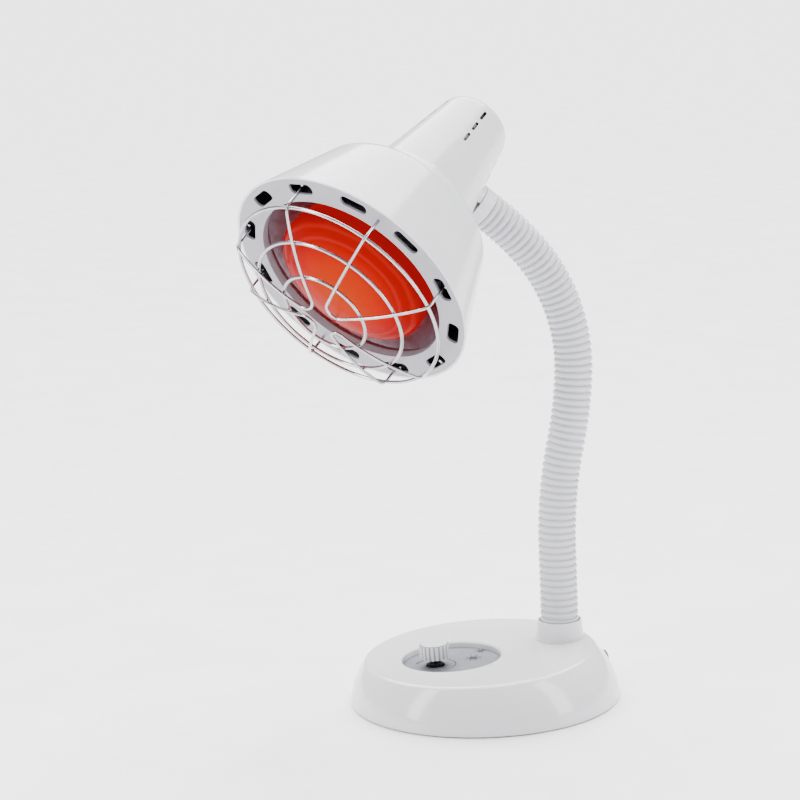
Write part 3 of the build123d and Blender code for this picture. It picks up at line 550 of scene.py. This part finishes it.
# ---------------------------------------------------------------- mesh tools
def smooth(obj, angle=radians(32)):
    """Smooth shading that keeps real edges sharp."""
    obj.data.polygons.foreach_set("use_smooth", [True] * len(obj.data.polygons))
    obj.data.set_sharp_from_angle(angle=angle)


def dress(material, *nodes):
    """The CAD nodes take a material."""
    for name in nodes:
        obj = frame["nodes"][name]
        obj.data.materials.clear()
        obj.data.materials.append(material)
        smooth(obj)


def paint_shade_inside(node, material, head):
    """The walls of a node that face the head's axis, and its housing's inner end, get painted
    shade as a second material.
    """
    obj = frame["nodes"][node]
    obj.data.materials.append(material)
    into = head.inverted()
    turn = into.to_3x3()
    for face in obj.data.polygons:
        middle, normal = into @ face.center, turn @ face.normal
        radial = Vector((middle.x, middle.y, 0))
        wall = radial.normalized().dot(normal) < SHADE_PAINT_LEAN and middle.z > SHADE_PAINT_START
        end = (normal.z < HOUSING_LEAN and HOUSING[0] < middle.z < HOUSING[1]
               and radial.length < HOUSING_R)
        if wall or end:
            face.material_index = 1


def mesh_object(name, points, faces, material):
    """A mesh object in the row frame."""
    data = bpy.data.meshes.new(name)
    data.from_pydata([tuple(p) for p in points], [], faces)
    data.validate()
    data.materials.append(material)
    obj = bpy.data.objects.new(name, data)
    bpy.context.scene.collection.objects.link(obj)
    smooth(obj)
    return obj


def tube_faces(rings, sides):
    """Quads between closed rings of points, and from the last ring back to the first."""
    faces = []
    for i in range(rings):
        a, b = i * sides, (i + 1) % rings * sides
        for j in range(sides):
            k = (j + 1) % sides
            faces.append((a + j, a + k, b + k, b + j))
    return faces


# ---------------------------------------------------------------- dial marks
def warmth_mark(x, y, reach):
    """Outlines of a plain warmth mark: a dot with eight rays."""
    dot_r, ray_r = 0.5 * reach, 0.62 * reach
    half = 0.24                   # half the angle that a ray's foot takes, in radians
    dot = [(x + dot_r * cos(a), y + dot_r * sin(a))
           for a in np.linspace(0, 2 * pi, 24, endpoint=False)]
    rays = []
    for a in np.arange(8) * pi / 4:
        rays.append([(x + r * cos(t), y + r * sin(t))
                     for r, t in ((ray_r, a - half), (reach, a), (ray_r, a + half))])
    return [dot] + rays


def arc_wedge(settings):
    """Outlines of the short pieces of an arc that grows thicker, from the front round."""
    turns = np.linspace(settings.arc_start, settings.arc_end, ARC_STEPS + 1)
    widths = np.linspace(settings.arc_thin, settings.arc_thick, ARC_STEPS + 1)
    inner = settings.arc_radius
    pieces = []
    for a, b, u, v in zip(turns, turns[1:], widths, widths[1:]):
        corners = ((inner, a), (inner + u, a), (inner + v, b), (inner, b))
        pieces.append([(r * sin(t), -r * cos(t)) for r, t in corners])
    return pieces


# ---------------------------------------------------------------- neck
def neck_state(length):
    """Place and lean on the neck's centre line, in its own plane, at a length from the foot."""
    back, up, lean, left = 0.0, 0.0, 0.0, max(length, 0.0)
    for run, turn in NECK_COURSE:
        run, turn = run * MM, radians(turn)
        step = min(left, run)
        bend = turn * step / run
        if abs(bend) < 1e-9:
            back += step * sin(lean)
            up += step * cos(lean)
        else:
            radius = step / bend
            back += radius * (cos(lean) - cos(lean + bend))
            up += radius * (sin(lean + bend) - sin(lean))
        lean += bend
        left -= step
        if left <= 1e-12:
            break
    return back, up, lean


def neck_length():
    """Length of the neck along its centre line, with its ferrule."""
    return sum(run for run, _ in NECK_COURSE) * MM


def neck_place(length):
    """Point of the neck at a length from its foot, and the two directions across it there."""
    low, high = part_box("neck_fitting")
    foot = Vector(((low.x + high.x) / 2, (low.y + high.y) / 2, high.z))
    across = Vector(joint("neck_low_bend")["axis"]).normalized()
    behind = UP.cross(across)
    back, up, lean = neck_state(length)
    tangent = behind * sin(lean) + UP * cos(lean)
    return foot + behind * back + UP * up, across, tangent.cross(across)


def rib_radius(settings, length):
    """Outer radius of the sleeve at a length: ribs with rounded edges."""
    start = (length - NECK_FIRST + settings.rib_lead) % settings.rib_pitch
    inside = min(start, settings.rib_width - start)
    if inside <= 0:
        return settings.groove
    if inside >= settings.rounding:
        return settings.crest
    fall = 1 - inside / settings.rounding
    return settings.crest - (settings.crest - settings.groove) * (1 - sqrt(1 - fall * fall))


def rib_stations(settings, start, end):
    """Lengths along the sleeve where its outline needs a ring of points."""
    width = settings.rib_width
    edge = [share * settings.rounding for share in (0.0, 0.06, 0.2, 0.5, 1.0)]
    beside = 0.02 * MM            # the groove's own points, just outside the rib
    marks = [-beside, *edge, *(width - mark for mark in edge), width + beside]
    first = NECK_FIRST - settings.rib_lead
    lowest = int((start - first) / settings.rib_pitch) - 1
    highest = ceil((end - first) / settings.rib_pitch)
    at = {first + rib * settings.rib_pitch + mark
          for rib in range(lowest, highest + 1) for mark in marks}
    return [start] + sorted(length for length in at if start < length < end) + [end]


def sleeve_piece(settings, index, start, end, material):
    """One stretch of sleeve: ribbed outside, plain bore inside."""
    outline = [(at, rib_radius(settings, at)) for at in rib_stations(settings, start, end)]
    outline += [(at, settings.bore) for at in (end, (start + end) / 2, start)]
    angles = np.linspace(0, 2 * pi, settings.sides, endpoint=False)
    points = []
    for at, radius in outline:
        point, across, normal = neck_place(at)
        points += [point + (across * cos(a) + normal * sin(a)) * radius for a in angles]
    faces = tube_faces(len(outline), settings.sides)
    return mesh_object(f"neck_sleeve_stretch_{index}", points, faces, material)


# ---------------------------------------------------------------- stage
def camera_at(settings):
    """The camera at its azimuth, elevation and roll, aimed at a point of the lamp."""
    a, e, roll = settings.azimuth, settings.elevation, settings.roll
    back = Vector((sin(a) * cos(e), -cos(a) * cos(e), sin(e)))
    right = Vector((cos(a), sin(a), 0))
    up = back.cross(right)
    side = right * cos(roll) + up * sin(roll)
    top = up * cos(roll) - right * sin(roll)
    aim = right * settings.aim_side + UP * settings.aim_height
    data = bpy.data.cameras.new("camera")
    data.lens = settings.focal
    data.clip_end = settings.floor_size   # the floor's far edge stays in view
    camera = bpy.data.objects.new("camera", data)
    turned = Matrix((side, top, back)).transposed().to_4x4()
    camera.matrix_world = Matrix.Translation(aim + back * settings.distance) @ turned
    bpy.context.scene.collection.objects.link(camera)
    bpy.context.scene.camera = camera


def light_from(name, kind, energy, comes_from, aim=(0.0, 0.0, 0.0), **attributes):
    """A light at a place, turned to the point that it aims at."""
    data = bpy.data.lights.new(name, kind)
    data.energy = energy
    for attribute, value in attributes.items():
        setattr(data, attribute, value)
    light = bpy.data.objects.new(name, data)
    light.location = comes_from
    towards = Vector(aim) - Vector(comes_from)
    light.rotation_euler = towards.to_track_quat("-Z", "Y").to_euler()
    bpy.context.scene.collection.objects.link(light)


# ---------------------------------------------------------------- operators
class HEATLAMP_OT_base(bpy.types.Operator):
    """Gives the base, its dial, its inlet and its foot their materials"""

    bl_idname = "heatlamp.base"
    bl_label = "Base"

    def execute(self, context):
        dress(white_abs(), "base_cover", "neck_collar")
        dress(dial_abs(), "dial_plate")
        dress(foam_pad(), "anti_slip_pad")
        dress(black_nylon(), "cord_gland")
        return {"FINISHED"}


class HEATLAMP_OT_marks(bpy.types.Operator):
    """Prints an arc and plain warmth marks on the dial"""

    bl_idname = "heatlamp.marks"
    bl_label = "Dial marks"

    def execute(self, context):
        shapes = arc_wedge(context.scene.heat_lamp_dial)
        for mark in WARMTH_MARKS:
            shapes += warmth_mark(*(length * MM for length in mark))
        up = upright_axis("knob_turn")
        plate = max(v.co.dot(up) for v in frame["nodes"]["dial_plate"].data.vertices)
        middle = Vector(joint("knob_turn")["pos_m"])
        middle += up * (plate + INK_LIFT - middle.dot(up))
        right = Vector((1.0, 0.0, 0.0))
        back = up.cross(right)
        points, faces = [], []
        for shape in shapes:
            faces.append(tuple(range(len(points), len(points) + len(shape))))
            points += [middle + right * x + back * y for x, y in shape]
        made = mesh_object("dial_marks", points, faces, dial_ink())
        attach(made, "base")
        return {"FINISHED"}


class HEATLAMP_OT_knob(bpy.types.Operator):
    """Gives the dimmer knob its material"""

    bl_idname = "heatlamp.knob"
    bl_label = "Knob"

    def execute(self, context):
        dress(knob_abs(knob_place()), "dimmer_knob")
        return {"FINISHED"}


class HEATLAMP_OT_neck(bpy.types.Operator):
    """Builds the ribbed sleeve in stretches that bend over the neck's joints"""

    bl_idname = "heatlamp.neck"
    bl_label = "Neck"

    def execute(self, context):
        settings = context.scene.heat_lamp_neck
        material = neck_pvc()
        bends = NECK_SPANS - 1
        ends = [FIRST_GAP] + [NECK_FIRST + NECK_SPAN * (k + 0.5) for k in range(bends - 1)]
        ends.append(neck_length() - FERRULE_L)
        reach = NECK_SPAN * NECK_REACH
        for k in range(bends):
            piece = sleeve_piece(settings, k, ends[k], ends[k + 1], material)
            middle = NECK_FIRST + NECK_SPAN * k
            start, end = neck_place(middle - reach)[0], neck_place(middle + reach)[0]
            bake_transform(piece)
            # The last stretch stands for two spans of the frame.
            last = bends + 1 if k == bends - 1 else k + 1
            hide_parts(*(f"neck_sleeve_{n}" for n in range(k, last)))
        dress(ferrule_abs(), "neck_ferrule")
        return {"FINISHED"}


class HEATLAMP_OT_shade(bpy.types.Operator):
    """Gives the shade, its ring and its reflector their materials"""

    bl_idname = "heatlamp.shade"
    bl_label = "Shade"

    def execute(self, context):
        dress(white_abs(), "shade")
        # Painted shade: the shade's inner walls take a near-black second material for the dark of
        # its hollow.
        paint_shade_inside("shade", painted_shade_lining(), head_place())
        dress(ring_abs(), "front_ring")
        dress(spun_aluminium(), "heat_shield")
        return {"FINISHED"}


class HEATLAMP_OT_bulb(bpy.types.Operator):
    """Gives the bulb its glowing ruby glass and its cap"""

    bl_idname = "heatlamp.bulb"
    bl_label = "Bulb"

    def execute(self, context):
        dress(ruby_glass(head_place()), "bulb_glass")
        dress(zinc_steel(), "bulb_cap")
        dress(ceramic(), "bulb_stem")
        dress(tungsten(), "bulb_filament")
        return {"FINISHED"}


class HEATLAMP_OT_guard(bpy.types.Operator):
    """Gives the wire guard its plating"""

    bl_idname = "heatlamp.guard"
    bl_label = "Guard"

    def execute(self, context):
        dress(chrome_wire(), "guard_rings", "guard_spokes")
        return {"FINISHED"}


class HEATLAMP_OT_works(bpy.types.Operator):
    """Gives the hidden works their materials"""

    bl_idname = "heatlamp.works"
    bl_label = "Works"

    def execute(self, context):
        # Painted shade: the nut and shaft under the knob are near-black for the shadow there.
        dress(painted_shade_steel(), "dimmer_shaft", "dimmer_nut")
        dress(zinc_steel(), "base_plate", "base_screws", "ballast_screws", "board_screws",
              "neck_fitting", "neck_lock_nut", "swivel_nipple", "swivel_nut", "swivel_washer",
              "holder_screws", *(f"neck_core_{k}" for k in range(NECK_SPANS)))
        dress(cable_pvc(), *(f"neck_cable_{k}" for k in range(NECK_SPANS)))
        dress(cast_iron(), "ballast")
        dress(black_nylon(), "dimmer_body", "terminal_block", "filter_choke")
        dress(circuit_board(), "dimmer_board")
        dress(film_capacitor(), "filter_capacitor")
        dress(spun_aluminium(), "triac_heatsink")
        dress(ceramic(), "lamp_holder")
        dress(brass(), "holder_shell", "holder_contact")
        return {"FINISHED"}


class HEATLAMP_OT_stage(bpy.types.Operator):
    """Sets the floor, the soft lights and the camera"""

    bl_idname = "heatlamp.stage"
    bl_label = "Stage"

    def execute(self, context):
        settings = context.scene.heat_lamp_stage
        half = settings.floor_size / 2
        corners = [(-half, -half, 0), (half, -half, 0), (half, half, 0), (-half, half, 0)]
        floor = mesh_object("floor", corners, [(0, 1, 2, 3)], floor_paper())
        camera_at(settings)
        # Two upright strips, as tall as a person, give the long highlights on both sides.
        middle = (0.0, 0.0, 0.3)
        light_from("left_light", "AREA", settings.left_power, (0.22, -1.65, 1.1), middle,
                   shape="RECTANGLE", size=0.42, size_y=2.0)
        light_from("right_light", "AREA", settings.right_power, (1.15, 1.35, 1.0), middle,
                   shape="RECTANGLE", size=0.5, size_y=1.8)
        # A broad sun lights the whole floor evenly and gives a shadow without an edge.
        light_from("overhead_light", "SUN", settings.overhead, (-0.45, 0.15, 1.0),
                   angle=radians(70))
        world = bpy.data.worlds.new("studio")
        world.use_nodes = True
        sky = world.node_tree.nodes["Background"]
        sky.inputs["Color"].default_value = (*linear("F4F6FA"), 1.0)
        sky.inputs["Strength"].default_value = settings.ambient
        context.scene.world = world
        return {"FINISHED"}


# ---------------------------------------------------------------- add-on
STEPS = ("base", "marks", "knob", "neck", "shade", "bulb", "guard", "works", "stage")
GROUPS = {
    "heat_lamp_colours": HeatLampColours,
    "heat_lamp_dial": HeatLampDial,
    "heat_lamp_neck": HeatLampNeck,
    "heat_lamp_stage": HeatLampStage,
}


class HEATLAMP_PT_panel(bpy.types.Panel):
    """The lamp's settings and steps in the sidebar"""

    bl_idname = "HEATLAMP_PT_panel"
    bl_label = "Heat lamp"
    bl_space_type = "VIEW_3D"
    bl_region_type = "UI"
    bl_category = "Heat lamp"

    def draw(self, context):
        for name, group in GROUPS.items():
            box = self.layout.box()
            for setting in group.__annotations__:
                box.prop(getattr(context.scene, name), setting)
        for step in STEPS:
            self.layout.operator(f"heatlamp.{step}")


CLASSES = (
    *GROUPS.values(), HEATLAMP_OT_base, HEATLAMP_OT_marks, HEATLAMP_OT_knob, HEATLAMP_OT_neck,
    HEATLAMP_OT_shade, HEATLAMP_OT_bulb, HEATLAMP_OT_guard, HEATLAMP_OT_works,
    HEATLAMP_OT_stage, HEATLAMP_PT_panel)


def register():
    """Adds the classes, and the settings to the scene."""
    for entry in CLASSES:
        bpy.utils.register_class(entry)
    for name, group in GROUPS.items():
        setattr(bpy.types.Scene, name, bpy.props.PointerProperty(type=group))


def unregister():
    """Takes the settings and the classes away again."""
    for name in GROUPS:
        delattr(bpy.types.Scene, name)
    for entry in reversed(CLASSES):
        bpy.utils.unregister_class(entry)


def main():
    """Builds the lamp's looks."""
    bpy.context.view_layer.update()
    register()
    for step in STEPS:
        getattr(bpy.ops.heatlamp, step)()


if __name__ == "__main__":
    main()
